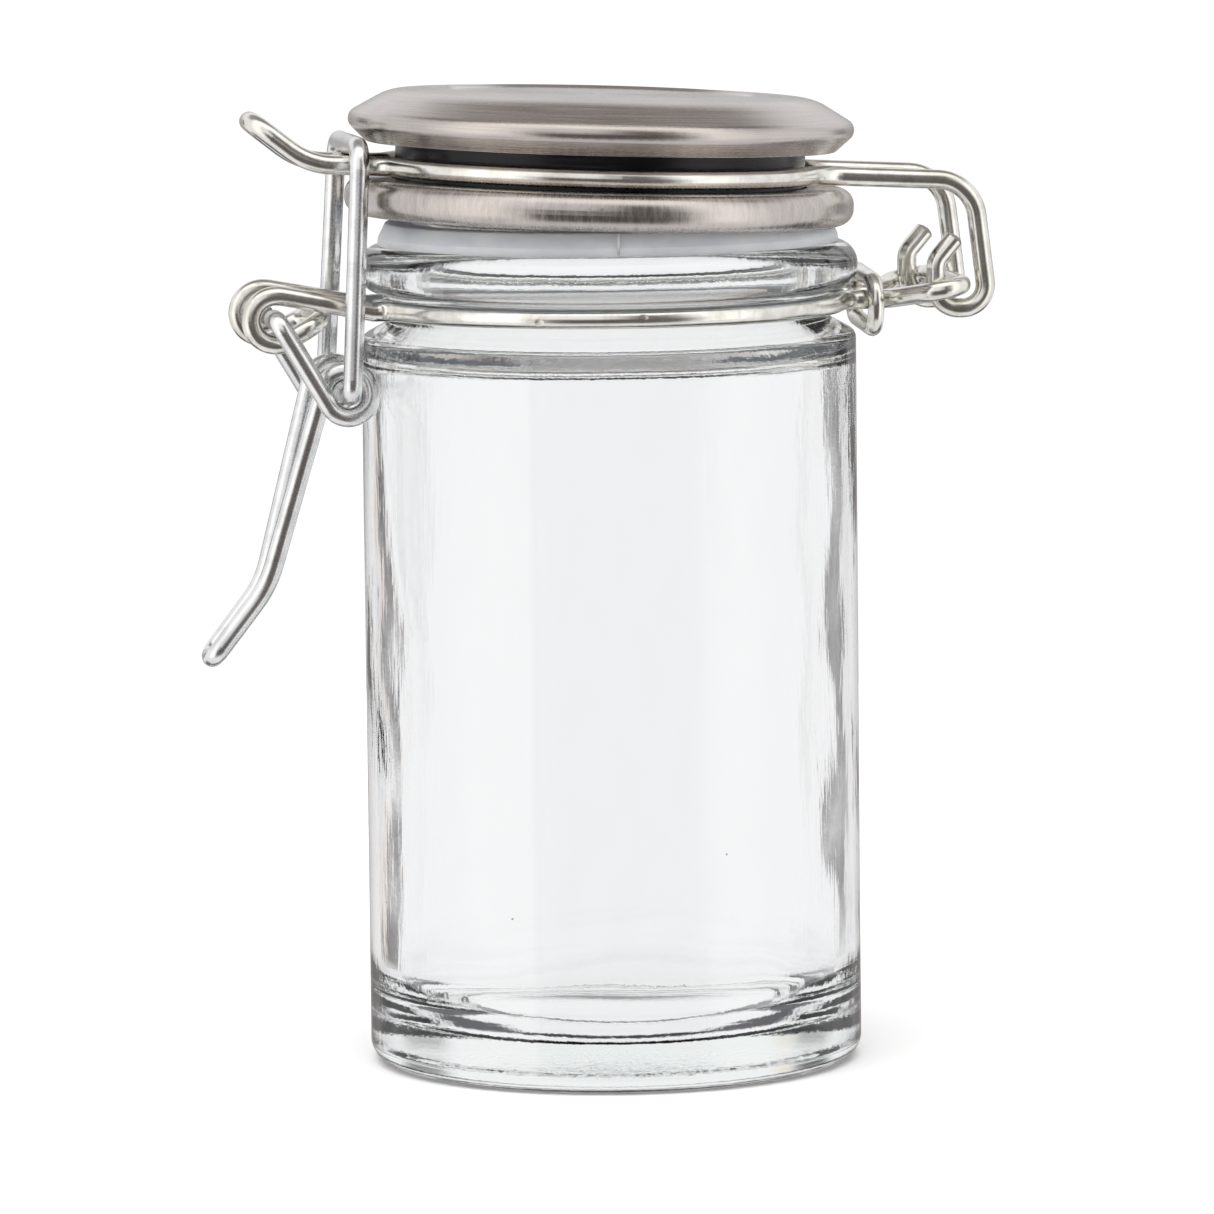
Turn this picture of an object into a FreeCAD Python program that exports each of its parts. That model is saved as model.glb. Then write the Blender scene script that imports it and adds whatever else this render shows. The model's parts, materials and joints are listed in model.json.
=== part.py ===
import FreeCAD, Part
import math
import os
import re

import Sketcher
from FreeCAD import Placement, Rotation, Vector

# A small glass jar with a clip-top lid, in millimetres. +Z is up, the origin is the centre of the
# glass foot on the surface it stands on, +X points at the hinge and -X at the clasp. The wires are
# symmetric about the XZ plane: a corner at y < 0 on the near side has its mirror image at y > 0.

DIMENSIONS = {
    # glass body, heights above the foot
    "body_radius": 24.0,
    "heel_round": 2.1,
    "foot_radius": 19.6,
    "foot_round": 1.2,
    "punt_radius": 15.6,
    "punt_edge_height": 1.2,
    "punt_round": 4.0,
    "punt_height": 1.6,
    "floor_height": 4.0,
    "floor_round": 6.0,
    "bore_radius": 21.2,
    "bore_top": 68.2,
    "shoulder_height": 70.7,
    "shoulder_round": 1.0,
    "groove_radius": 21.35,
    "groove_bottom": 72.2,
    "groove_top": 75.0,
    "groove_round": 0.8,
    "bead_radius": 24.2,
    "bead_bottom_round": 2.0,
    "bead_top_round": 2.2,
    "mouth_radius": 18.8,
    "mouth_height": 79.55,
    "mouth_round": 0.6,
    "neck_bore_bottom": 71.0,
    "bore_round": 2.0,
    # seal ring on the mouth
    "seal_inner_radius": 18.9,
    "seal_radius": 22.3,
    "seal_shoulder_radius": 22.2,
    "seal_shoulder_height": 80.3,
    "seal_top_radius": 21.5,
    "seal_height": 81.72,
    "seal_round": 0.25,
    # lid, in its own frame: the middle of the plug's underside, lifted, shifted and tilted in place
    "lid_offset": -0.9,
    "lid_height": 80.9,
    "lid_tilt": 2.1,
    "sheet_thickness": 0.4,
    "flange_radius": 24.62,
    "flange_top": 4.45,
    "flange_bottom": 0.9,
    "flange_round": 1.55,
    "lip_inner_radius": 20.1,
    "recess_radius": 23.0,
    "recess_top": 2.0,
    "plug_radius": 17.4,
    "plug_round": 0.8,
    "neck_radius": 19.8,
    "cap_bottom": 7.95,
    "cap_lip_radius": 20.0,
    "cap_foot_radius": 22.7,
    "cap_corner_radius": 25.16,
    "cap_corner_height": 10.28,
    "cap_corner_round": 1.1,
    "cap_corner_inset": 0.508,
    "cap_shoulder_radius": 20.6,
    "cap_shoulder_height": 12.95,
    "cap_shoulder_round": 5.0,
    "cap_shoulder_inset": 0.08,
    "cap_top": 13.22,
    "panel_radius": 15.0,
    "panel_edge_round": 0.1,
    "panel_height": 12.95,
    "core_flange_radius": 22.3,
    "core_flange_top": 10.2,
    "core_top_radius": 13.5,
    # wires: one diameter for the jar's four, and a thinner one for the clip
    "wire_diameter": 1.87,
    "clip_wire_diameter": 1.6,
    # lid wire, its half ring in the lid's own frame
    "lid_ring_radius": 20.9,
    "lid_ring_height": 5.77,
    "lid_ring_hinge_angle": 30.0,
    "lid_ring_clasp_angle": 22.0,
    "hinge_x": 33.3,
    "hinge_height": 75.2,
    "hook_radius": 2.35,
    "hook_bend": 2.23,
    "hook_y": 6.9,
    "arm_reach": 2.8,
    "tail_lean": 1.8,
    "tail_bend_rise": 4.6,
    "tail_rise": 6.7,
    "tail_bend": 1.8,
    "arm_lean": 1.5,
    "arm_rise": 12.3,
    "arm_bend": 4.0,
    "tab_y": 3.6,
    "tab_root_bend": 2.5,
    "tab_dip_x": -29.4,
    "tab_dip_height": 87.75,
    "tab_dip_bend": 7.0,
    "tab_tip_x": -34.6,
    "tab_tip_y": 3.0,
    "tab_tip_height": 91.8,
    "tab_tip_bend": 2.4,
    # neck wire
    "neck_ring_radius": 22.35,
    "neck_ring_height": 73.65,
    "neck_ring_hinge_angle": 20.0,
    "neck_ring_clasp_angle": 22.0,
    "ring_exit_bend": 2.0,
    "hinge_strand_y": 9.2,
    "hinge_bend": 2.0,
    "hinge_corner_run": 3.2,
    "hinge_corner_drop": 0.6,
    "clip_strand_y": 3.6,
    "clip_strand_run": 1.3,
    "clip_strand_bend": 2.5,
    "ramp_foot_x": -23.6,
    "ramp_top_x": -32.6,
    "ramp_bend": 3.0,
    "pivot_x": -33.1,
    "pivot_height": 73.05,
    "pivot_eye_radius": 2.33,
    "pivot_eye_y": 5.3,
    "bridge_x": -28.7,
    "bridge_bend": 1.9,
    "return_angle": 30.0,
    # clip round both strands of the neck wire
    "clip_x": 25.3,
    "clip_height": 73.45,
    "clip_half_width": 5.6,
    "clip_half_height": 2.35,
    "clip_bend": 2.1,
    "clip_lean": 4.0,
    # lever handle
    "link_eye_x": -26.4,
    "link_eye_height": 65.9,
    "link_eye_radius": 2.15,
    "link_y": 7.4,
    "leg_end_y": 3.9,
    "leg_bend": 1.1,
    "coil_gap": 0.1,
    "handle_bend_x": -33.8,
    "handle_bend_y": 1.8,
    "handle_bend_height": 47.2,
    "handle_bend": 10.0,
    "handle_tip_x": -39.15,
    "handle_tip_y": 1.5,
    "handle_tip_height": 40.3,
    "handle_tip_bend": 1.4,
    # bail
    "bail_bottom_y": 9.9,
    "bail_bottom_bend": 1.5,
    "bail_top_y": 8.5,
    "bail_top_x": -25.15,
    "bail_top_height": 89.55,
    "bail_top_bend": 2.2,
}

# How far each corner of the lever's eye is from the link's strand to the handle's strand.
COIL_STEPS = (0, 0.25, 0.65, 1)

# Outlines of the turned pieces: (radius, height) of each corner, as formulas of the sheet's names.
GLASS_OUTLINE = [
    ("0", "punt_height"),
    ("punt_radius", "punt_edge_height"),
    ("foot_radius", "0"),
    ("body_radius", "0"),
    ("body_radius", "shoulder_height"),
    ("groove_radius", "groove_bottom"),
    ("groove_radius", "groove_top"),
    ("bead_radius", "groove_top"),
    ("bead_radius", "mouth_height"),
    ("mouth_radius", "mouth_height"),
    ("mouth_radius", "neck_bore_bottom"),
    ("bore_radius", "bore_top"),
    ("bore_radius", "floor_height"),
    ("0", "floor_height"),
]
GLASS_ROUNDS = {
    "punt_round": [("punt_radius", "punt_edge_height")],
    "foot_round": [("foot_radius", "0")],
    "heel_round": [("body_radius", "0")],
    "shoulder_round": [("body_radius", "shoulder_height")],
    "groove_round": [("groove_radius", "groove_bottom"), ("groove_radius", "groove_top")],
    "bead_bottom_round": [("bead_radius", "groove_top")],
    "bead_top_round": [("bead_radius", "mouth_height")],
    "mouth_round": [("mouth_radius", "mouth_height")],
    "bore_round": [("mouth_radius", "neck_bore_bottom"), ("bore_radius", "bore_top")],
    "floor_round": [("bore_radius", "floor_height")],
}
SEAL_OUTLINE = [
    ("seal_inner_radius", "mouth_height"),
    ("seal_radius", "mouth_height"),
    ("seal_shoulder_radius", "seal_shoulder_height"),
    ("seal_top_radius", "seal_height"),
    ("seal_inner_radius", "seal_height"),
]
SEAL_ROUNDS = {
    "seal_round": [("seal_top_radius", "seal_height"), ("seal_inner_radius", "seal_height")],
}
PAN_OUTLINE = [
    ("0", "0"),
    ("plug_radius", "0"),
    ("plug_radius", "recess_top"),
    ("recess_radius", "recess_top"),
    ("recess_radius", "flange_bottom"),
    ("flange_radius", "flange_bottom"),
    ("flange_radius", "flange_top"),
    ("lip_inner_radius", "flange_top"),
    ("lip_inner_radius", "flange_top - sheet_thickness"),
    ("flange_radius - sheet_thickness", "flange_top - sheet_thickness"),
    ("flange_radius - sheet_thickness", "recess_top + sheet_thickness"),
    ("plug_radius - sheet_thickness", "recess_top + sheet_thickness"),
    ("plug_radius - sheet_thickness", "sheet_thickness"),
    ("0", "sheet_thickness"),
]
PAN_ROUNDS = {
    "flange_round": [("flange_radius", "flange_bottom"), ("flange_radius", "flange_top")],
    "flange_round - sheet_thickness": [
        ("flange_radius - sheet_thickness", "flange_top - sheet_thickness"),
    ],
    "plug_round": [("plug_radius", "0")],
    "plug_round - sheet_thickness": [("plug_radius - sheet_thickness", "sheet_thickness")],
}
CORE_OUTLINE = [
    ("0", "recess_top + sheet_thickness"),
    ("core_flange_radius", "recess_top + sheet_thickness"),
    ("core_flange_radius", "flange_top - sheet_thickness"),
    ("neck_radius", "flange_top - sheet_thickness"),
    ("neck_radius", "cap_bottom + sheet_thickness"),
    ("core_flange_radius", "cap_bottom + sheet_thickness"),
    ("core_flange_radius", "core_flange_top"),
    ("core_top_radius", "panel_height - sheet_thickness"),
    ("0", "panel_height - sheet_thickness"),
]
CAP_OUTLINE = [
    ("0", "panel_height"),
    ("panel_radius - sheet_thickness", "panel_height"),
    ("panel_radius", "cap_top"),
    ("cap_shoulder_radius", "cap_shoulder_height"),
    ("cap_corner_radius", "cap_corner_height"),
    ("cap_foot_radius", "cap_bottom"),
    ("cap_lip_radius", "cap_bottom"),
    ("cap_lip_radius", "cap_bottom + sheet_thickness"),
    ("cap_foot_radius - sheet_thickness / 2", "cap_bottom + sheet_thickness"),
    ("cap_corner_radius - cap_corner_inset", "cap_corner_height"),
    ("cap_shoulder_radius - cap_shoulder_inset", "cap_shoulder_height - sheet_thickness"),
    ("panel_radius", "cap_top - sheet_thickness"),
    ("panel_radius - sheet_thickness", "panel_height - sheet_thickness"),
    ("0", "panel_height - sheet_thickness"),
]
CAP_ROUNDS = {
    "cap_corner_round": [("cap_corner_radius", "cap_corner_height")],
    "cap_corner_round - sheet_thickness": [
        ("cap_corner_radius - cap_corner_inset", "cap_corner_height"),
    ],
    "cap_shoulder_round": [("cap_shoulder_radius", "cap_shoulder_height")],
    "sheet_thickness": [("cap_foot_radius", "cap_bottom")],
    "panel_edge_round": [("panel_radius", "cap_top")],
}

document = FreeCAD.newDocument("bail_clamp_jar")
sizes = document.addObject("Spreadsheet::Sheet", "Sizes")
for row, (alias, number) in enumerate(DIMENSIONS.items(), 1):
    sizes.set(f"A{row}", alias)
    sizes.set(f"B{row}", str(number))
    sizes.setAlias(f"B{row}", alias)
document.recompute()


def bound(formula):
    """The formula as the expression engine reads it, with every name taken from the sheet."""
    return re.sub(r"[a-z_]+", lambda name: "Sizes." + name.group(), formula)


def size(formula):
    """The value of a formula of the sheet's names."""
    return float(sizes.evalExpression(bound(formula)))


def plane(body, role):
    return next(item for item in body.Origin.OriginFeatures if item.Role == role)


def turned_body(name, outline):
    """A body whose closed outline, in the XZ plane, is turned about Z. Every corner is bound."""
    body = document.addObject("PartDesign::Body", name)
    sketch = body.newObject("Sketcher::SketchObject", name + "_outline")
    sketch.AttachmentSupport = (plane(body, "XZ_Plane"), "")
    sketch.MapMode = "FlatFace"
    corners = [Vector(size(radius), size(height), 0) for radius, height in outline]
    for start, end in zip(corners, corners[1:] + corners[:1]):
        sketch.addGeometry(Part.LineSegment(start, end))
    for index, (radius, height) in enumerate(outline):
        previous = (index - 1) % len(outline)
        sketch.addConstraint(Sketcher.Constraint("Coincident", previous, 2, index, 1))
        for kind, formula, axis in (("DistanceX", radius, -2), ("DistanceY", height, -1)):
            if formula == "0":
                sketch.addConstraint(Sketcher.Constraint("PointOnObject", index, 1, axis))
            else:
                distance = Sketcher.Constraint(kind, -1, 1, index, 1, size(formula))
                number = sketch.addConstraint(distance)
                sketch.setExpression(f"Constraints[{number}]", bound(formula))
    turned = body.newObject("PartDesign::Revolution", name + "_turned")
    turned.Profile = sketch
    turned.ReferenceAxis = (sketch, ["V_Axis"])
    turned.Angle = 360
    sketch.Visibility = False
    document.recompute()
    return body


def round_corners(body, rounds):
    """Rounds the circular edges of a turned body at the given outline corners."""
    for number, (round_radius, corners) in enumerate(rounds.items(), 1):
        solid = body.Tip
        wanted = [(size(radius), size(height)) for radius, height in corners]
        edges = []
        for index, edge in enumerate(solid.Shape.Edges, 1):
            if not isinstance(edge.Curve, Part.Circle):
                continue
            place = (edge.Curve.Radius, edge.Curve.Center.z)
            if any(math.dist(place, corner) < 1e-4 for corner in wanted):
                edges.append(f"Edge{index}")
        if len(edges) != len(wanted):
            raise ValueError(f"{body.Name}: {round_radius} found {len(edges)} of {len(wanted)} edges")
        fillet = body.newObject("PartDesign::Fillet", f"{body.Name}_round_{number}")
        fillet.Base = (solid, edges)
        fillet.setExpression("Radius", bound(round_radius))
        document.recompute()


def place_on_lid(body):
    """Puts a body that was drawn in the lid's own frame at the lid's place and tilt."""
    body.Placement = Placement(Vector(0, 0, 0), Rotation(Vector(0, 1, 0), size("lid_tilt")))
    body.setExpression("Placement.Base.x", bound("lid_offset"))
    body.setExpression("Placement.Base.z", bound("lid_height"))
    body.setExpression("Placement.Rotation.Angle", bound("lid_tilt"))


def from_lid(x, y, height):
    """A point of the lid's own frame, in the jar's frame."""
    turn = Rotation(Vector(0, 1, 0), size("lid_tilt"))
    return turn.multVec(Vector(x, y, height)) + Vector(size("lid_offset"), 0, size("lid_height"))


def mirrored(corners):
    """The far side's corners, in reverse order, for the near side's."""
    return [(Vector(point.x, -point.y, point.z), radius) for point, radius in reversed(corners)]


def bent_path(corners, closed):
    """A wire of straight runs joined by tangent arcs. Each corner is a point and its bend radius."""
    starts, middles, ends = [], [], []
    for index, (point, radius) in enumerate(corners):
        if not closed and index in (0, len(corners) - 1):
            starts.append(point)
            middles.append(None)
            ends.append(point)
            continue
        before = (point - corners[index - 1][0]).normalize()
        after = (corners[(index + 1) % len(corners)][0] - point).normalize()
        half_turn = before.getAngle(after) / 2
        setback = radius * math.tan(half_turn)
        starts.append(point - before * setback)
        middles.append(point + (after - before).normalize() * radius * (1 / math.cos(half_turn) - 1))
        ends.append(point + after * setback)
    edges = []
    for index in range(len(corners)):
        if middles[index]:
            edges.append(Part.Arc(starts[index], middles[index], ends[index]).toShape())
        following = (index + 1) % len(corners)
        last_of_open = not closed and following == 0
        run = starts[following] - ends[index]
        if last_of_open or run.Length < 1e-3:
            continue
        if run * (corners[following][0] - corners[index][0]) < 0:
            raise ValueError(f"the bends at corners {index} and {following} overlap by {run.Length}")
        edges.append(Part.LineSegment(ends[index], starts[following]).toShape())
    return Part.Wire(edges)


def bent_wire(name, corners, closed, diameter="wire_diameter"):
    """A round wire swept along a bent path."""
    path = document.addObject("Part::Feature", name + "_path")
    path.Shape = bent_path(corners, closed)
    first = path.Shape.Edges[0]
    tangent = first.tangentAt(first.FirstParameter)
    section = document.addObject("Part::Circle", name + "_section")
    section.setExpression("Radius", bound(diameter + " / 2"))
    section.Placement = Placement(
        first.valueAt(first.FirstParameter), Rotation(Vector(0, 0, 1), tangent)
    )
    wire = document.addObject("Part::Sweep", name)
    wire.Sections = [section]
    wire.Spine = (path, [f"Edge{number}" for number in range(1, len(path.Shape.Edges) + 1)])
    wire.Solid = True
    document.recompute()
    expected = math.pi * (size(diameter) / 2) ** 2 * path.Shape.Length
    if abs(wire.Shape.Volume / expected - 1) > 0.01:
        raise ValueError(f"{name}: volume {wire.Shape.Volume:.2f}, expected {expected:.2f}")
    return wire


def ring_corners(radius, first_angle, last_angle, place):
    """Corners whose bends make an arc about Z on the near side, from one angle to the other.

    Angles are in degrees from +X, and place turns a corner's x and y into a point.
    """
    half_step = math.radians(last_angle - first_angle) / 4
    corners = []
    for step in (1, 3):
        angle = math.radians(first_angle) + step * half_step
        reach = radius / math.cos(half_step)
        corners.append((place(reach * math.cos(angle), -reach * math.sin(angle)), radius))
    return corners


def ring_exit(radius, angle, strand_y):
    """How far out the tangent that leaves a ring at an angle from the X axis meets a strand."""
    angle = math.radians(angle)
    straight = (radius * math.sin(angle) - strand_y) / math.cos(angle)
    return radius * math.cos(angle) + straight * math.sin(angle)


def eye_corners(centre_x, centre_z, radius, first_angle, turn, ys):
    """Corners whose bends make an eye about a Y axis, one for each y, from a tangent angle on."""
    half_step = math.radians(turn) / len(ys) / 2
    reach = radius / math.cos(half_step)
    corners = []
    for number, y in enumerate(ys):
        angle = math.radians(first_angle) + (2 * number + 1) * half_step
        point = Vector(centre_x + reach * math.cos(angle), y, centre_z + reach * math.sin(angle))
        corners.append((point, radius))
    return corners


def make_glass_jar():
    round_corners(turned_body("glass_jar", GLASS_OUTLINE), GLASS_ROUNDS)


def make_seal_ring():
    round_corners(turned_body("seal_ring", SEAL_OUTLINE), SEAL_ROUNDS)


def make_lid_shells():
    for name, outline, rounds in (
        ("lid_pan", PAN_OUTLINE, PAN_ROUNDS),
        ("lid_core", CORE_OUTLINE, {}),
        ("lid_cap", CAP_OUTLINE, CAP_ROUNDS),
    ):
        body = turned_body(name, outline)
        round_corners(body, rounds)
        place_on_lid(body)


def make_lid_wire():
    """One wire: cut end, hook under the hinge bar, arm, half ring, tab, and the same mirrored."""
    ring = size("lid_ring_radius")
    height = size("lid_ring_height")
    hook_y = -size("hook_y")
    tab_y = -size("tab_y")
    hook_bend = size("hook_bend")
    arm_bend = size("arm_bend")
    left = size("hinge_x - hook_radius")
    right = size("hinge_x + arm_reach")
    hook_bottom = size("hinge_height - hook_radius")
    hinge_exit = ring_exit(ring, size("lid_ring_hinge_angle"), -hook_y)
    clasp_exit = ring_exit(ring, size("lid_ring_clasp_angle"), -tab_y)
    near = [
        (Vector(left + size("tail_lean"), hook_y, hook_bottom + size("tail_rise")), 0),
        (Vector(left, hook_y, hook_bottom + size("tail_bend_rise")), size("tail_bend")),
        (Vector(left, hook_y, hook_bottom), hook_bend),
        (Vector(right, hook_y, hook_bottom), hook_bend),
        (Vector(right - size("arm_lean"), hook_y, hook_bottom + size("arm_rise")), arm_bend),
        (from_lid(hinge_exit, hook_y, height), arm_bend),
    ]
    near += ring_corners(
        ring,
        size("lid_ring_hinge_angle"),
        180 - size("lid_ring_clasp_angle"),
        lambda x, y: from_lid(x, y, height),
    )
    near += [
        (from_lid(-clasp_exit, tab_y, height), size("tab_root_bend")),
        (Vector(size("tab_dip_x"), tab_y, size("tab_dip_height")), size("tab_dip_bend")),
        (Vector(size("tab_tip_x"), -size("tab_tip_y"), size("tab_tip_height")), size("tab_tip_bend")),
    ]
    bent_wire("lid_wire", near + mirrored(near), closed=False)


def make_neck_wire():
    """One closed loop: hinge bar, half ring in the groove, pivot eye, bridge, and back mirrored."""
    ring = size("neck_ring_radius")
    height = size("neck_ring_height")
    hinge_y = -size("hinge_strand_y")
    clip_y = -size("clip_strand_y")
    eye_y = -size("pivot_eye_y")
    eye = size("pivot_eye_radius")
    eye_top = size("pivot_height") + eye
    hinge_x = size("hinge_x")
    hinge_z = size("hinge_height")
    hinge_bend = size("hinge_bend")
    exit_bend = size("ring_exit_bend")
    ramp_bend = size("ramp_bend")
    hinge_exit = ring_exit(ring, size("neck_ring_hinge_angle"), -clip_y)
    clasp_exit = ring_exit(ring, size("neck_ring_clasp_angle"), -eye_y)
    return_angle = math.radians(size("return_angle"))
    near = [
        (Vector(hinge_x, hinge_y, hinge_z), hinge_bend),
        (
            Vector(hinge_x - size("hinge_corner_run"), hinge_y, hinge_z - size("hinge_corner_drop")),
            hinge_bend,
        ),
        (Vector(size("clip_x") + size("clip_strand_run"), clip_y, height), size("clip_strand_bend")),
        (Vector(hinge_exit, clip_y, height), exit_bend),
    ]
    near += ring_corners(
        ring,
        size("neck_ring_hinge_angle"),
        180 - size("neck_ring_clasp_angle"),
        lambda x, y: Vector(x, y, height),
    )
    last_eye_corner_x = size("pivot_x") + eye * math.tan(return_angle / 2)
    bridge_rise = (size("bridge_x") - last_eye_corner_x) * math.tan(return_angle)
    near += [
        (Vector(-clasp_exit, eye_y, height), exit_bend),
        (Vector(size("ramp_foot_x"), eye_y, height), ramp_bend),
        (Vector(size("ramp_top_x"), eye_y, eye_top), ramp_bend),
        (Vector(size("pivot_x") - eye, eye_y, eye_top), eye),
        (Vector(size("pivot_x") - eye, eye_y, eye_top - 2 * eye), eye),
        (Vector(last_eye_corner_x, eye_y, eye_top - 2 * eye), eye),
        (Vector(size("bridge_x"), eye_y, eye_top - 2 * eye + bridge_rise), size("bridge_bend")),
    ]
    bent_wire("neck_wire", near + mirrored(near), closed=True)


def make_ring_clip():
    """A leaning oval ring round both strands of the neck wire."""
    lean = Rotation(Vector(1, 0, 0), size("clip_lean"))
    centre = Vector(size("clip_x"), 0, size("clip_height"))
    width = size("clip_half_width")
    height = size("clip_half_height")
    corners = []
    for y, z in ((-width, -height), (-width, height), (width, height), (width, -height)):
        corners.append((centre + lean.multVec(Vector(0, y, z)), size("clip_bend")))
    bent_wire("ring_clip", corners, closed=True, diameter="clip_wire_diameter")


def make_bail_wire():
    """A closed loop: bar through the link eyes, two arms, and the bar that lies on the tab."""
    bottom = Vector(size("link_eye_x"), -size("bail_bottom_y"), size("link_eye_height"))
    top = Vector(size("bail_top_x"), -size("bail_top_y"), size("bail_top_height"))
    near = [(bottom, size("bail_bottom_bend")), (top, size("bail_top_bend"))]
    bent_wire("bail_wire", near + mirrored(near), closed=True)


def make_lever_handle():
    """One wire: pivot leg, link, coiled eye, long handle loop, and back mirrored."""
    pivot_x = size("pivot_x")
    pivot_z = size("pivot_height")
    eye_x = size("link_eye_x")
    eye_z = size("link_eye_height")
    eye = size("link_eye_radius")
    link_y = -size("link_y")
    strand_y = link_y + size("wire_diameter") + size("coil_gap")
    bend = Vector(size("handle_bend_x"), -size("handle_bend_y"), size("handle_bend_height"))
    tip = Vector(size("handle_tip_x"), -size("handle_tip_y"), size("handle_tip_height"))
    span = math.hypot(eye_x - pivot_x, eye_z - pivot_z)
    link_heading = math.atan2(eye_z - pivot_z, eye_x - pivot_x) - math.asin(eye / span)
    to_bend = math.hypot(bend.x - eye_x, bend.z - eye_z)
    handle_heading = math.atan2(bend.z - eye_z, bend.x - eye_x) + math.asin(eye / to_bend)
    turn = math.degrees(handle_heading - link_heading) % 360
    near = [
        (Vector(pivot_x, -size("leg_end_y"), pivot_z), 0),
        (Vector(pivot_x, link_y, pivot_z), size("leg_bend")),
    ]
    eye_ys = [link_y + (strand_y - link_y) * step for step in COIL_STEPS]
    near += eye_corners(eye_x, eye_z, eye, math.degrees(link_heading) - 90, turn, eye_ys)
    near += [(bend, size("handle_bend")), (tip, size("handle_tip_bend"))]
    bent_wire("lever_handle", near + mirrored(near), closed=False)


def write_parts(names):
    """Checks every object and writes each sub-part as a STEP file."""
    document.recompute()
    for item in document.Objects:
        if {"Invalid", "Error"} & set(item.State):
            raise ValueError(f"{item.Name} failed: {item.State}")
    os.makedirs("parts", exist_ok=True)
    for name in names:
        shape = document.getObject(name).Shape
        if shape.isNull() or not shape.isValid() or len(shape.Solids) != 1:
            raise ValueError(f"{name} isn't one valid solid")
        shape.exportStep(f"parts/{name}.step")
        print(f"{name:14s} {shape.Volume / 1000:8.3f} cm3")


make_glass_jar()
make_seal_ring()
make_lid_shells()
make_lid_wire()
make_neck_wire()
make_ring_clip()
make_bail_wire()
make_lever_handle()
write_parts(
    [
        "glass_jar",
        "seal_ring",
        "neck_wire",
        "ring_clip",
        "lid_pan",
        "lid_core",
        "lid_cap",
        "lid_wire",
        "bail_wire",
        "lever_handle",
    ]
)
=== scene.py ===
import json
import math

import bmesh
import bpy
from mathutils import Matrix, Vector, noise


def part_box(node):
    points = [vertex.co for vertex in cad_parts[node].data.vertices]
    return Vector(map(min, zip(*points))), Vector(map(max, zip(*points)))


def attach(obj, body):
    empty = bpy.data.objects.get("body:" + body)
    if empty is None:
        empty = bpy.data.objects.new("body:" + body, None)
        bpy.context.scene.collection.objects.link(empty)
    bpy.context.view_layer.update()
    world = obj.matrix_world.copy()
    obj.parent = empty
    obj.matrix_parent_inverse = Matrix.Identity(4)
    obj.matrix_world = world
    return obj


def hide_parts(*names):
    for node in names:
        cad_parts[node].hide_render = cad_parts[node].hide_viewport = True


# A small clip-top glass jar on a pale floor. Lengths are in metres, written as so many times MM.
# The wires, the lid and the seal are the CAD nodes with their own materials. The glass is turned
# again here from the CAD outline, with the wavy inner wall and the mould seams of pressed glass.
# Materials count in millimetres, so that noise of scale 1 has waves about 1 mm wide.

MM = 0.001

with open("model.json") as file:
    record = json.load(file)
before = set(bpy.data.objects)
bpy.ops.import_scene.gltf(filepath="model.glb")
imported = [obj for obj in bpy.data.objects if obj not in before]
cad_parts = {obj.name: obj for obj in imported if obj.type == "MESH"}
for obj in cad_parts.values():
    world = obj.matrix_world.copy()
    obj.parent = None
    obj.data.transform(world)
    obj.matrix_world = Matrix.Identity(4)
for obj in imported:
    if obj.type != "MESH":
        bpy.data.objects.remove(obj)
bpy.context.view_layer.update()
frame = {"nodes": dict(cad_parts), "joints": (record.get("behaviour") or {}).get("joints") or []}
nodes = frame["nodes"]
joints = {joint["name"]: joint for joint in frame["joints"]}

CAMERA_AZIMUTH = math.radians(-9.5)
CAMERA_ELEVATION = math.radians(6.35)
CAMERA_ROLL = math.radians(-0.63)
CAMERA_DISTANCE = 743.25 * MM
CAMERA_AIM_HEIGHT = 44.0 * MM
CAMERA_AIM_SIDE = -0.45 * MM
CAMERA_LENS = 226.7
CAMERA_SENSOR = 36.0
CAMERA_NEAR = 0.01
CAMERA_FAR = 50

# The skin of the glass is more uneven above NECK_FOOT and below HEEL_TOP than between them.
NECK_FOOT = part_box("neck_wire")[0][2] - 4.0 * MM
HEEL_TOP = 7.0 * MM


class Nodes:
    """A node tree, with a short call for each kind of node that materials and the world share."""

    def __init__(self, tree):
        self.tree = tree

    def put(self, socket, value):
        if isinstance(value, bpy.types.NodeSocket):
            self.tree.links.new(value, socket)
        else:
            socket.default_value = value

    def add(self, kind, inputs, **settings):
        node = self.tree.nodes.new("ShaderNode" + kind)
        for name, value in settings.items():
            setattr(node, name, value)
        for label, value in inputs.items():
            self.put(node.inputs[label], value)
        return node

    def math(self, operation, first, second=0.0, third=0.0):
        node = self.add("Math", {0: first, 1: second, 2: third}, operation=operation)
        return node.outputs[0]

    def mix(self, factor, first, second):
        node = self.add("Mix", {}, data_type="RGBA")
        for index, value in ((0, factor), (6, first), (7, second)):
            self.put(node.inputs[index], value)
        return node.outputs[2]


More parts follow.
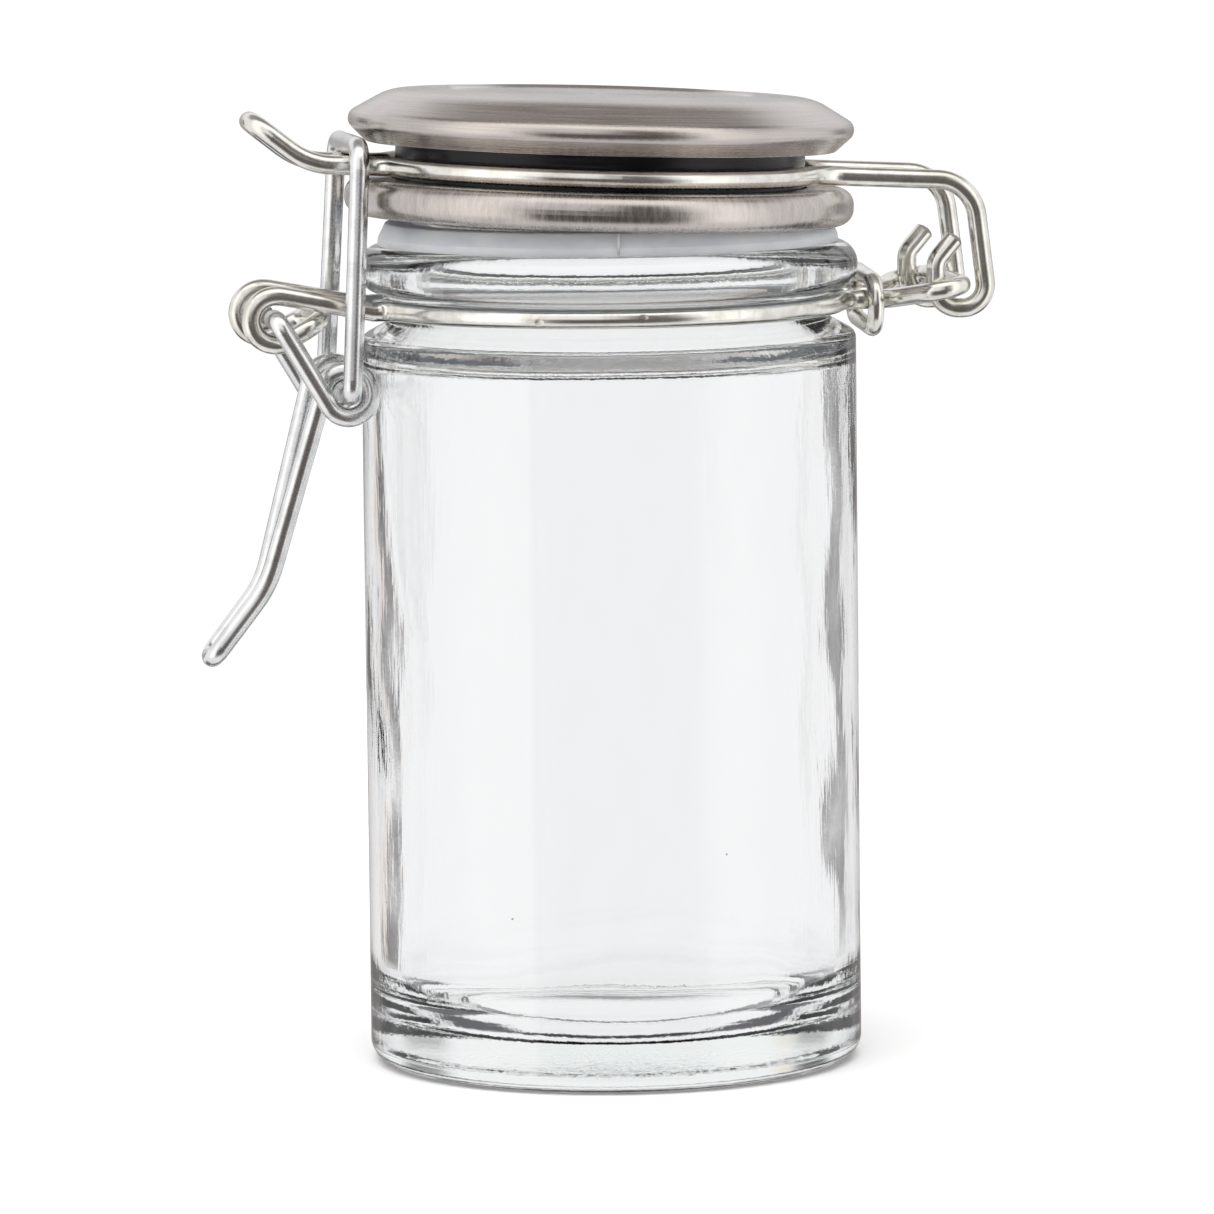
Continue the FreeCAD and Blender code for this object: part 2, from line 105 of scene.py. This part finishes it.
class Finish(Nodes):
    """A material, with a short call for each kind of node that only materials use."""

    def __init__(self, name, constants):
        self.material = bpy.data.materials.new(name)
        self.material.use_nodes = True
        super().__init__(self.material.node_tree)
        self.surface = self.tree.nodes["Principled BSDF"]
        self.output = self.tree.nodes["Material Output"]
        for label, value in constants.items():
            self.surface.inputs[label].default_value = value

    def place(self, origin=(0, 0, 0), tilt=0.0):
        """The point being shaded, in millimetres, seen from an origin in metres and tilted about Y."""
        point = self.add("TexCoord", {}).outputs["Object"]
        turned = self.add(
            "Mapping",
            {"Vector": point, "Location": origin, "Rotation": (0, tilt, 0)},
            vector_type="TEXTURE",
        )
        scaled = self.add("VectorMath", {0: turned.outputs[0], "Scale": 1 / MM}, operation="SCALE")
        return scaled.outputs[0]

    def stretch(self, place, scale):
        """A place scaled along each axis."""
        return self.add("VectorMath", {0: place, 1: scale}, operation="MULTIPLY").outputs[0]

    def around(self, place, turns, out, up):
        """A place for a pattern round Z: fine by turns, out and up, with no seam round the piece."""
        parts = self.add("SeparateXYZ", {0: place}).outputs
        flat = self.add("CombineXYZ", {0: parts[0], 1: parts[1]}).outputs[0]
        radius = self.add("VectorMath", {0: flat}, operation="LENGTH").outputs["Value"]
        unit = self.add("VectorMath", {0: flat}, operation="NORMALIZE").outputs[0]
        circle = self.add("SeparateXYZ", {0: self.stretch(unit, (turns, turns, 0))}).outputs
        across = self.math("MULTIPLY", radius, out)
        along = self.add("CombineXYZ", {0: circle[0], 1: circle[1], 2: across}).outputs[0]
        return along, self.math("MULTIPLY", parts[2], up)

    def noise(self, place, scale, detail=3.0, roughness=0.55, distortion=0.0, fourth=None):
        inputs = {
            "Vector": place,
            "Scale": scale,
            "Detail": detail,
            "Roughness": roughness,
            "Distortion": distortion,
        }
        if fourth is None:
            return self.add("TexNoise", inputs).outputs["Fac"]
        inputs["W"] = fourth
        return self.add("TexNoise", inputs, noise_dimensions="4D").outputs["Fac"]

    def fit(self, value, low, high, to_low=0.0, to_high=1.0):
        """A value between two limits, smoothed and moved to two others."""
        inputs = {"Value": value, 1: low, 2: high, 3: to_low, 4: to_high}
        return self.add("MapRange", inputs, interpolation_type="SMOOTHSTEP").outputs[0]

    def bump(self, height, depth, strength=1.0, below=None):
        inputs = {"Height": height, "Distance": depth, "Strength": strength}
        if below is not None:
            inputs["Normal"] = below
        return self.add("Bump", inputs).outputs[0]

    def finish(self, colour, roughness, normal=None):
        self.put(self.surface.inputs["Base Color"], colour)
        self.put(self.surface.inputs["Roughness"], roughness)
        if normal is not None:
            self.put(self.surface.inputs["Normal"], normal)
        return self.material


def lid_place(finish):
    """The place in the lid's own frame: Z along the axis of lid_turn, from that joint's origin."""
    joint = joints["lid_turn"]
    return finish.place(joint["pos_m"], math.atan2(joint["axis"][0], joint["axis"][2]))


STEEL_LIGHT = (0.66, 0.615, 0.585, 1)
STEEL_DARK = (0.46, 0.425, 0.40, 1)
STEEL_GRAIN_DEPTH = 0.012 * MM
LID_PANEL_RADIUS = 15.0 * MM
# Painted reflection: the lighter steel colour of the lid's top panel stands in for the white sheen that
# panel shows.
LID_PANEL_PAINTED_SHEEN = (0.68, 0.67, 0.665, 1)
LID_PANEL_POLISH = 0.08


def brushed_steel(name, turns, out, up):
    """Steel with a grain: many turns make it fine round the lid, out and up make it fine across.

    Within the radius of the panel pressed into the lid it is polished, and its colour is lighter and
    paler there as a painted reflection of the white the panel catches.
    """
    finish = Finish(name, {"Metallic": 1.0, "Anisotropic": 0.55, "Anisotropic Rotation": 0.25})
    place = lid_place(finish)
    along, fourth = finish.around(place, turns, out, up)
    grain = finish.noise(along, scale=1.0, detail=5.0, roughness=0.7, fourth=fourth)
    broad = finish.noise(place, scale=0.11, detail=2.0)
    scuffs = finish.noise(finish.stretch(place, (0.5, 0.5, 1.4)), scale=1.6, detail=6.0, roughness=0.75)
    tone = finish.math("MULTIPLY_ADD", finish.math("SUBTRACT", grain, 0.5), 1.1, 0.5)
    tone = finish.math("MULTIPLY_ADD", finish.math("SUBTRACT", broad, 0.5), 0.5, tone)
    colour = finish.mix(finish.fit(tone, 0.2, 0.8), STEEL_DARK, STEEL_LIGHT)
    brushed = finish.fit(grain, 0.3, 0.7, 0.2, 0.32)
    scuffed = finish.fit(scuffs, 0.6, 0.8, 0.0, 0.08)
    rough = finish.math("ADD", brushed, scuffed)
    flat = finish.stretch(place, (1, 1, 0))
    radius = finish.add("VectorMath", {0: flat}, operation="LENGTH").outputs["Value"]
    edge = LID_PANEL_RADIUS / MM
    panel = finish.fit(radius, edge - 0.4, edge - 0.2, 1.0, 0.0)
    # The panel's polish is real, but its lighter colour is a painted reflection of the white it catches.
    colour = finish.mix(panel, colour, LID_PANEL_PAINTED_SHEEN)
    rough = finish.math("SUBTRACT", rough, finish.math("MULTIPLY", panel, LID_PANEL_POLISH))
    tangent = finish.add("Tangent", {}, direction_type="RADIAL", axis="Z")
    finish.put(finish.surface.inputs["Tangent"], tangent.outputs[0])
    return finish.finish(colour, rough, finish.bump(grain, STEEL_GRAIN_DEPTH))


COOL_LIGHT = (0.88, 0.885, 0.88, 1)
COOL_DARK = (0.72, 0.73, 0.74, 1)
WARM_LIGHT = (0.88, 0.875, 0.83, 1)
WARM_DARK = (0.70, 0.68, 0.61, 1)
PLATING_WAVES = 0.014 * MM
PLATING_SCRATCHES = 0.005 * MM
PLATING_NICKS = 0.025 * MM


def plated_wire(name, light, dark, roughness):
    """Bright plating: faint clouding, fine drawing marks, and a few nicks from the bending tools."""
    finish = Finish(name, {"Metallic": 1.0})
    place = finish.place()
    cloud = finish.noise(place, scale=0.35, detail=4.0, distortion=0.6)
    colour = finish.mix(finish.fit(cloud, 0.38, 0.72), light, dark)
    fine = finish.noise(place, scale=5.0, detail=5.0, roughness=0.7)
    rough = finish.fit(fine, 0.35, 0.75, roughness, roughness + 0.1)
    cells = finish.add("TexVoronoi", {"Vector": place, "Scale": 0.3}, feature="F1")
    inside = finish.fit(cells.outputs["Distance"], 0.05, 0.16)
    chosen = finish.add("SeparateXYZ", {0: cells.outputs["Color"]}).outputs[0]
    nick = finish.math("MAXIMUM", inside, finish.fit(chosen, 0.72, 0.76, 1.0, 0.0))
    waves = finish.bump(finish.noise(place, scale=0.45, detail=1.0), PLATING_WAVES)
    scratches = finish.bump(fine, PLATING_SCRATCHES, below=waves)
    return finish.finish(colour, rough, finish.bump(nick, PLATING_NICKS, below=scratches))


CUT_DARK = (0.16, 0.15, 0.14, 1)
CUT_LIGHT = (0.62, 0.61, 0.58, 1)


def cut_end(name):
    """The torn grey face where a wire was cut off."""
    finish = Finish(name, {"Metallic": 1.0})
    grit = finish.noise(finish.place(), scale=4.0, detail=6.0, roughness=0.8)
    colour = finish.mix(finish.fit(grit, 0.3, 0.7), CUT_DARK, CUT_LIGHT)
    rough = finish.fit(grit, 0.3, 0.7, 0.35, 0.6)
    return finish.finish(colour, rough, finish.bump(grit, 0.12 * MM))


PLASTIC_BLACK = (0.008, 0.007, 0.009, 1)
PLASTIC_DUST = (0.04, 0.04, 0.045, 1)


def black_plastic(name):
    """Moulded black plastic: nearly smooth, with flow marks round it and a little dust."""
    finish = Finish(name, {"Specular IOR Level": 0.3})
    place = lid_place(finish)
    along, fourth = finish.around(place, turns=3.0, out=1.0, up=2.6)
    flow = finish.noise(along, scale=1.0, detail=4.0, fourth=fourth)
    dust = finish.noise(place, scale=2.2, detail=8.0, roughness=0.8)
    colour = finish.mix(finish.fit(dust, 0.62, 0.8), PLASTIC_BLACK, PLASTIC_DUST)
    rough = finish.fit(flow, 0.3, 0.7, 0.16, 0.3)
    return finish.finish(colour, rough, finish.bump(flow, 0.04 * MM))


SILICONE_DARK = (0.66, 0.69, 0.73, 1)
SILICONE_LIGHT = (0.77, 0.80, 0.83, 1)


def milky_silicone(name):
    """Translucent moulded silicone, cloudier in places."""
    constants = {
        "IOR": 1.41,
        "Subsurface Weight": 0.7,
        "Subsurface Radius": (1.0, 1.1, 1.25),
        "Subsurface Scale": 1.5 * MM,
    }
    finish = Finish(name, constants)
    place = finish.place()
    along, fourth = finish.around(place, turns=5.0, out=0.4, up=0.5)
    cloud = finish.noise(along, scale=1.0, detail=3.0, fourth=fourth)
    colour = finish.mix(finish.fit(cloud, 0.3, 0.7), SILICONE_DARK, SILICONE_LIGHT)
    skin = finish.noise(place, scale=0.9, detail=2.0)
    rough = finish.fit(skin, 0.3, 0.7, 0.3, 0.42)
    return finish.finish(colour, rough, finish.bump(skin, 0.01 * MM))


GLASS_CLEAR = (0.997, 1.0, 0.998, 1)
GLASS_FILM = (0.985, 0.99, 0.987, 1)
GLASS_DUST = (0.1, 0.09, 0.08, 1)
GLASS_TINT = (0.8, 0.92, 0.86, 1)
GLASS_DENSITY = 7.0


def clear_glass(name):
    """Pressed soda glass: clear, faintly green through its edges, rippled, with a few dust specks."""
    finish = Finish(name, {"IOR": 1.5, "Transmission Weight": 1.0})
    place = finish.place()
    height = finish.add("SeparateXYZ", {0: place}).outputs[2]
    neck = finish.fit(height, NECK_FOOT / MM - 4.0, NECK_FOOT / MM, 0.0, 1.0)
    heel = finish.fit(height, HEEL_TOP / MM - 2.0, HEEL_TOP / MM + 2.0, 1.0, 0.0)
    moulded = finish.math("MAXIMUM", neck, heel)
    draw = finish.noise(finish.stretch(place, (1.0, 1.0, 0.16)), scale=0.9, detail=2.0)
    skin = finish.noise(place, scale=0.8, detail=3.0, roughness=0.6)
    pebbles = finish.math("MULTIPLY", finish.noise(place, scale=1.5, detail=3.0, roughness=0.6), moulded)
    smear = finish.noise(place, scale=0.09, detail=4.0, distortion=0.8)
    film = finish.noise(finish.stretch(place, (1.0, 1.0, 0.4)), scale=0.35, detail=3.0)
    colour = finish.mix(finish.fit(film, 0.35, 0.75), GLASS_CLEAR, GLASS_FILM)
    cells = finish.add("TexVoronoi", {"Vector": place, "Scale": 0.16}, feature="F1")
    speck = finish.fit(cells.outputs["Distance"], 0.012, 0.024)
    chosen = finish.add("SeparateXYZ", {0: cells.outputs["Color"]}).outputs[0]
    clean = finish.math("MAXIMUM", speck, finish.fit(chosen, 0.3, 0.32))
    colour = finish.mix(clean, GLASS_DUST, colour)
    normal = finish.bump(draw, 0.035 * MM, strength=0.6)
    normal = finish.bump(skin, 0.010 * MM, strength=0.5, below=normal)
    normal = finish.bump(pebbles, 0.014 * MM, strength=0.8, below=normal)
    absorb = finish.add("VolumeAbsorption", {"Color": GLASS_TINT, "Density": GLASS_DENSITY})
    finish.put(finish.output.inputs["Volume"], absorb.outputs[0])
    return finish.finish(colour, finish.fit(smear, 0.62, 0.8, 0.0, 0.05), normal)


FLOOR_DARK = (0.93, 0.93, 0.93, 1)
FLOOR_LIGHT = (0.95, 0.95, 0.95, 1)


def floor_finish(name):
    """A pale matt floor with the faintest mottling."""
    finish = Finish(name, {"Specular IOR Level": 0.2})
    cloud = finish.noise(finish.place(), scale=0.01, detail=3.0)
    colour = finish.mix(cloud, FLOOR_DARK, FLOOR_LIGHT)
    return finish.finish(colour, finish.fit(cloud, 0.3, 0.7, 0.55, 0.7))


NEAR = 1e-6
NEAR_DIGITS = 6


def turned_outline(node):
    """(radius, height) along a turned CAD node's seam, from the middle of its underside upwards."""
    mesh = nodes[node].data
    key = {}
    for vertex in mesh.vertices:
        x, y, z = vertex.co
        if abs(y) < NEAR and x > 0:
            key[vertex.index] = (round(x, NEAR_DIGITS), round(z, NEAR_DIGITS))
    beside = {}
    for edge in mesh.edges:
        first, second = (key.get(index) for index in edge.vertices)
        if first and second and first != second:
            beside.setdefault(first, set()).add(second)
            beside.setdefault(second, set()).add(first)
    start = min((point for point in beside if len(beside[point]) == 1), key=lambda point: point[1])
    path = [start]
    following = beside[start]
    while following:
        path.append(following.pop())
        following = beside[path[-1]] - {path[-2]}
    return path


def evenly_cut(outline, step):
    """The outline with its long runs cut into steps."""
    cut = [outline[0]]
    for (radius, height), (next_radius, next_height) in zip(outline, outline[1:]):
        out = next_radius - radius
        up = next_height - height
        count = max(1, math.ceil(math.hypot(out, up) / step))
        for number in range(1, count + 1):
            share = number / count
            cut.append((radius + out * share, height + up * share))
    return cut


GLASS_TURNS = 400
GLASS_STEP = 0.8 * MM
WAVE_RADIUS = 20 * MM
SLOW_WAVE = (13 * MM, 26 * MM, 3.7)
QUICK_WAVE = (6 * MM, 9 * MM, 11.2)
OUTER_WAVE = (9 * MM, 14 * MM, 21.5)
WALL_DEPTH = 0.42 * MM
QUICK_SHARE = 0.3
NECK_DEPTH = 0.05 * MM
BODY_DEPTH = 0.03 * MM
FLOOR_FADE = 6 * MM
RIM_FADE = 8 * MM
SEAM_ANGLES = (math.radians(62), math.radians(242))
SEAM_DEPTH = 0.05 * MM
SEAM_WIDTH = 0.45 * MM


def wave(angle, height, across, tall, seed):
    """Smooth noise between about -1 and 1 round a wall, with waves so wide and so tall."""
    radius = WAVE_RADIUS / across
    point = (radius * math.cos(angle), radius * math.sin(angle), height / tall + seed)
    return noise.noise(Vector(point))


def fade(distance, full):
    """From 0 at no distance to 1 at the full one."""
    return min(1.0, max(0.0, distance / full))


def glass_wall(radius, height, angle, inner, bottom, top):
    """The radius of the pressed wall at an angle: wavy inside, nearly true outside, with two seams."""
    if inner:
        ends = fade(height - bottom, FLOOR_FADE) * fade(top - height, RIM_FADE)
        slow = wave(angle, height, *SLOW_WAVE)
        quick = wave(angle, height, *QUICK_WAVE)
        return radius + (slow * WALL_DEPTH + quick * WALL_DEPTH * QUICK_SHARE) * ends
    depth = BODY_DEPTH if height < NECK_FOOT else NECK_DEPTH
    wide = abs(wave(angle, height, *OUTER_WAVE)) * depth
    aside = min(abs(math.remainder(angle - seam, math.tau)) for seam in SEAM_ANGLES) * radius
    seam = SEAM_DEPTH * math.exp(-((aside / SEAM_WIDTH) ** 2))
    return radius - SEAM_DEPTH - wide + seam


def join_rings(mesh, rings):
    """Faces between each ring of vertices and the next, closed all the way round."""
    for lower, upper in zip(rings, rings[1:]):
        for turn in range(len(lower)):
            after = (turn + 1) % len(lower)
            mesh.faces.new((lower[turn], lower[after], upper[after], upper[turn]))


def add_glass():
    """The jar's glass as one closed skin, turned from the CAD outline."""
    outline = evenly_cut(turned_outline("glass_jar"), GLASS_STEP)
    floor_height = outline[-1][1]
    top = max(height for _, height in outline)
    rim = max(index for index, (_, height) in enumerate(outline) if height > top - NEAR)
    mesh = bmesh.new()
    rings = []
    for index, (radius, height) in enumerate(outline):
        ring = []
        for turn in range(GLASS_TURNS):
            angle = math.tau * turn / GLASS_TURNS
            reach = glass_wall(radius, height, angle, index > rim, floor_height, top)
            ring.append(mesh.verts.new((reach * math.cos(angle), reach * math.sin(angle), height)))
        rings.append(ring)
    join_rings(mesh, rings)
    for ring, height, facing in ((rings[0], outline[0][1], 1), (rings[-1], floor_height, -1)):
        middle = mesh.verts.new((0, 0, height))
        for turn in range(GLASS_TURNS):
            corners = (middle, ring[(turn + 1) % GLASS_TURNS], ring[turn])
            mesh.faces.new(corners[::facing])
    bmesh.ops.recalc_face_normals(mesh, faces=mesh.faces)
    return piece("pressed_glass", mesh, clear_glass("pressed glass"))


WELD = 0.0001 * MM
FLAT_COSINE = math.cos(math.radians(0.5))
END_FACES = 6
END_ROUNDNESS = 1.2


def flat_ends(name):
    """The middle, direction and radius of each flat round end of a CAD wire."""
    mesh = bmesh.new()
    mesh.from_mesh(nodes[name].data)
    bmesh.ops.remove_doubles(mesh, verts=mesh.verts, dist=WELD)
    bmesh.ops.dissolve_degenerate(mesh, dist=WELD, edges=mesh.edges)
    mesh.normal_update()
    seen = set()
    ends = []
    for first in mesh.faces:
        if first in seen:
            continue
        seen.add(first)
        flat = [first]
        for face in flat:
            for edge in face.edges:
                for beside in edge.link_faces:
                    if beside not in seen and beside.normal.dot(first.normal) > FLAT_COSINE:
                        seen.add(beside)
                        flat.append(beside)
        corners = {vertex for face in flat for vertex in face.verts}
        middle = sum((vertex.co for vertex in corners), Vector()) / len(corners)
        reaches = [(vertex.co - middle).length for vertex in corners]
        if len(flat) >= END_FACES and max(reaches) < END_ROUNDNESS * min(reaches):
            ends.append((middle, first.normal.copy(), max(reaches)))
    mesh.free()
    return ends


CUT_RINGS = 8
CUT_TURNS = 32
CUT_RIDGE = 0.34 * MM
CUT_GRIT = 0.07 * MM
CUT_GRIT_SIZE = 0.35 * MM
CUT_LIFT = 0.01 * MM
CUT_WELD = 0.001 * MM


def add_cut_ends(name, body):
    """The pinched ends that cutters leave on a wire: two rough slopes that meet in a ridge."""
    mesh = bmesh.new()
    for middle, out, radius in flat_ends(name):
        side = out.orthogonal().normalized()
        along = out.cross(side)
        rings = []
        for number in range(CUT_RINGS + 1):
            share = 1 - number / CUT_RINGS
            ring = []
            for turn in range(CUT_TURNS):
                angle = math.tau * turn / CUT_TURNS
                across = share * math.cos(angle)
                flat = middle + (side * across + along * share * math.sin(angle)) * radius
                rise = CUT_RIDGE * (1 - abs(across)) * (1 - share**6)
                grit = CUT_GRIT * noise.noise(flat / CUT_GRIT_SIZE) * (1 - share**4)
                ring.append(mesh.verts.new(flat + out * (rise + grit + CUT_LIFT)))
            rings.append(ring)
        join_rings(mesh, rings)
    bmesh.ops.remove_doubles(mesh, verts=mesh.verts, dist=CUT_WELD)
    bmesh.ops.recalc_face_normals(mesh, faces=mesh.faces)
    ends = piece(name + "_cut_ends", mesh, cut_end(name.replace("_", " ") + " cut"))
    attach(ends, body)


# The seal's mould line is 2.6 degrees to the right of the point that is nearest to the camera.
RIB_ANGLE = CAMERA_AZIMUTH - math.radians(90 - 2.6)
RIB_HALF_WIDTH = 0.16 * MM
RIB_PROUD = 0.09 * MM
RIB_SUNK = 0.4
RIB_TAPER = 0.03
RIB_INSET = 0.12 * MM
RIB_STEPS = 10


def add_mould_line(material):
    """The thin raised line that the mould's join leaves up the outside of the seal."""
    low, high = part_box("seal_ring")
    wall = high[0]
    mesh = bmesh.new()
    rings = []
    for level in range(RIB_STEPS + 1):
        share = level / RIB_STEPS
        height = low[2] + RIB_INSET + (high[2] - low[2] - 2 * RIB_INSET) * share
        swell = math.sqrt(math.sin(math.pi * min(1 - RIB_TAPER, max(RIB_TAPER, share))))
        ring = []
        for step in range(RIB_STEPS + 1):
            turn = math.pi * step / RIB_STEPS
            reach = wall - RIB_PROUD * RIB_SUNK + RIB_PROUD * (1 + RIB_SUNK) * math.sin(turn) * swell
            angle = RIB_ANGLE + RIB_HALF_WIDTH * math.cos(turn) * swell / wall
            ring.append(mesh.verts.new((reach * math.cos(angle), reach * math.sin(angle), height)))
        rings.append(ring)
    join_rings(mesh, rings)
    mesh.faces.new(rings[0])
    mesh.faces.new(rings[-1])
    bmesh.ops.recalc_face_normals(mesh, faces=mesh.faces)
    rib = piece("seal_mould_line", mesh, material)
    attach(rib, "jar")


def new_object(name, data):
    """An object in the scene, made of the data given."""
    made = bpy.data.objects.new(name, data)
    bpy.context.scene.collection.objects.link(made)
    return made


SHARP_ANGLE = math.radians(38)


def piece(name, mesh, material):
    """A new smooth-shaded object from a bmesh."""
    data = bpy.data.meshes.new(name)
    mesh.to_mesh(data)
    mesh.free()
    data.shade_smooth()
    data.set_sharp_from_angle(angle=SHARP_ANGLE)
    data.materials.append(material)
    return new_object(name, data)


def paint(name, material):
    """Gives a CAD node its finish."""
    slots = nodes[name].data.materials
    slots.clear()
    slots.append(material)


FLOOR_RADIUS = 300 * MM
FLOOR_SIDES = 128
FLOOR_DROP = 0.02 * MM


def add_floor():
    """The floor that catches the jar's shadow. Metal and glass don't show it."""
    mesh = bmesh.new()
    bmesh.ops.create_circle(mesh, cap_ends=True, segments=FLOOR_SIDES, radius=FLOOR_RADIUS)
    floor = piece("floor", mesh, floor_finish("pale floor"))
    floor.location.z = -FLOOR_DROP
    floor.visible_glossy = False
    floor.visible_transmission = False


# The studio round the jar, as the glass and the metal see it: a pale tent with darker openings and
# lighter boxes, each painted over those before it. A row is its name, azimuth and half width,
# elevation and half height, soft edge and light. Angles are in degrees, and azimuth is counted from
# straight behind the jar, positive towards the hinge. The panels in the second list show only in
# what reflects them, and not in what is seen through the glass.
TENT_LIGHT = (0.92, 0.914, 0.93)
PANELS = (
    ("roof behind", 0, 80, 66, 24, 9, (0.30, 0.28, 0.27)),
    ("left gap", -41, 7, 0, 9, 4, (0.12, 0.11, 0.11)),
    ("left glow", -31, 2, 0, 9, 3, (0.84, 0.74, 0.66)),
    ("right gap", 40, 8, 0, 9, 4, (0.26, 0.25, 0.25)),
    ("left shelf", -44, 19, -43, 15, 5, (0.10, 0.10, 0.11)),
    ("right shelf", 44, 19, -43, 15, 5, (0.10, 0.10, 0.11)),
    ("stand", 0, 34, -59, 9, 4, (0.03, 0.03, 0.04)),
)
REFLECTED_PANELS = (
    ("front roof", 180, 84, 68, 19, 6, (1.45, 1.42, 1.38)),
    ("left box", -122, 20, 8, 42, 12, (1.3, 1.28, 1.25)),
    ("right box", 120, 14, 8, 42, 12, (1.3, 1.28, 1.25)),
    ("front shade", 176, 38, -24, 27, 11, (0.12, 0.105, 0.10)),
    ("camera side", 158, 14, 8, 34, 11, (0.13, 0.12, 0.115)),
    ("back shade", 0, 30, -18, 26, 11, (0.40, 0.38, 0.37)),
)
BACKDROP = (1.0, 1.0, 1.0, 1.0)
BACKDROP_STRENGTH = 1.05
HALF_TURN = 180.0


def add_world():
    """Soft panels that light the jar, and an even white where the camera sees past it."""
    world = bpy.data.worlds.new("studio")
    bpy.context.scene.world = world
    world.use_nodes = True
    studio = Nodes(world.node_tree)
    studio.tree.nodes.clear()

    def drop(value, low, high, **settings):
        """1 below the low limit and 0 above the high one."""
        inputs = {"Value": value, 1: low, 2: high, 3: 1.0, 4: 0.0}
        return studio.add("MapRange", inputs, **settings).outputs[0]

    direction = studio.add("TexCoord", {}).outputs["Generated"]
    turn = {"Vector": direction, "Rotation": (0, 0, -CAMERA_AZIMUTH)}
    turned = studio.add("Mapping", turn).outputs[0]
    parts = studio.add("SeparateXYZ", {0: turned}).outputs
    azimuth = studio.math("DEGREES", studio.math("ARCTAN2", parts[0], parts[1]))
    elevation = studio.math("DEGREES", studio.math("ARCSINE", parts[2]))
    path = studio.add("LightPath", {}).outputs
    direct = drop(path["Transmission Depth"], 0.0, 1.0)
    total = (*TENT_LIGHT, 1.0)
    panels = [(*panel, 1.0) for panel in PANELS] + [(*panel, direct) for panel in REFLECTED_PANELS]
    for _, middle, half_width, level, half_height, soft, light, inside in panels:
        aside = studio.math("WRAP", studio.math("SUBTRACT", azimuth, middle), HALF_TURN, -HALF_TURN)
        above = studio.math("SUBTRACT", elevation, level)
        for away, half in ((aside, half_width), (above, half_height)):
            distance = studio.math("ABSOLUTE", away)
            within = drop(distance, half - soft, half + soft, interpolation_type="SMOOTHSTEP")
            inside = studio.math("MULTIPLY", within, inside)
        total = studio.mix(inside, total, (*light, 1.0))
    tent = studio.add("Background", {"Color": total}).outputs[0]
    white = {"Color": BACKDROP, "Strength": BACKDROP_STRENGTH}
    plain = studio.add("Background", white).outputs[0]
    both = studio.add("MixShader", {0: path["Is Camera Ray"], 1: tent, 2: plain}).outputs[0]
    studio.put(studio.add("OutputWorld", {}).inputs["Surface"], both)


KEY_PLACE = (-0.1, -0.15, 0.9)
KEY_AIM = (0, 0, 0.05)
KEY_SIZE = 1.1
KEY_WATTS = 9.0


def add_key_light():
    """A wide lamp above the jar. Metal and glass don't show it."""
    light = bpy.data.lights.new("key", "AREA")
    light.shape = "RECTANGLE"
    light.size = KEY_SIZE
    light.size_y = KEY_SIZE
    light.energy = KEY_WATTS
    lamp = new_object("key", light)
    lamp.location = KEY_PLACE
    lamp.rotation_mode = "QUATERNION"
    lamp.rotation_quaternion = (Vector(KEY_AIM) - Vector(KEY_PLACE)).to_track_quat("-Z", "Y")
    lamp.visible_camera = False
    lamp.visible_glossy = False
    lamp.visible_transmission = False


def add_camera():
    """The camera at the photograph's angle, with its small lean."""
    flat = math.cos(CAMERA_ELEVATION)
    sine = math.sin(CAMERA_AZIMUTH)
    cosine = math.cos(CAMERA_AZIMUTH)
    back = Vector((sine * flat, -cosine * flat, math.sin(CAMERA_ELEVATION)))
    right = Vector((cosine, sine, 0))
    axes = Matrix((right, back.cross(right), back)).transposed()
    aim = right * CAMERA_AIM_SIDE + Vector((0, 0, CAMERA_AIM_HEIGHT))
    lens = bpy.data.cameras.new("camera")
    lens.lens = CAMERA_LENS
    lens.sensor_width = CAMERA_SENSOR
    lens.clip_start = CAMERA_NEAR
    lens.clip_end = CAMERA_FAR
    camera = new_object("camera", lens)
    turned = (Matrix.Rotation(CAMERA_ROLL, 3, back) @ axes).to_4x4()
    camera.matrix_world = Matrix.Translation(aim + back * CAMERA_DISTANCE) @ turned
    bpy.context.scene.camera = camera


cap_steel = brushed_steel("cap steel", turns=2.0, out=5.0, up=7.0)
pan_steel = brushed_steel("pan steel", turns=60.0, out=0.6, up=0.5)
cool_wire = plated_wire("cool plating", COOL_LIGHT, COOL_DARK, roughness=0.21)
warm_wire = plated_wire("warm plating", WARM_LIGHT, WARM_DARK, roughness=0.16)

paint("lid_cap", cap_steel)
paint("lid_pan", pan_steel)
paint("lid_core", black_plastic("black plastic"))
silicone = milky_silicone("milky silicone")
paint("seal_ring", silicone)
for wire in ("bail_wire", "lever_handle"):
    paint(wire, cool_wire)
for wire in ("lid_wire", "neck_wire", "ring_clip"):
    paint(wire, warm_wire)

glass = add_glass()
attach(glass, "jar")
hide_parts("glass_jar")

add_mould_line(silicone)
for wire, body in (("lid_wire", "lid_frame"), ("lever_handle", "lever")):
    add_cut_ends(wire, body)

add_floor()
add_world()
add_key_light()
add_camera()
bpy.context.scene.view_settings.view_transform = "Standard"
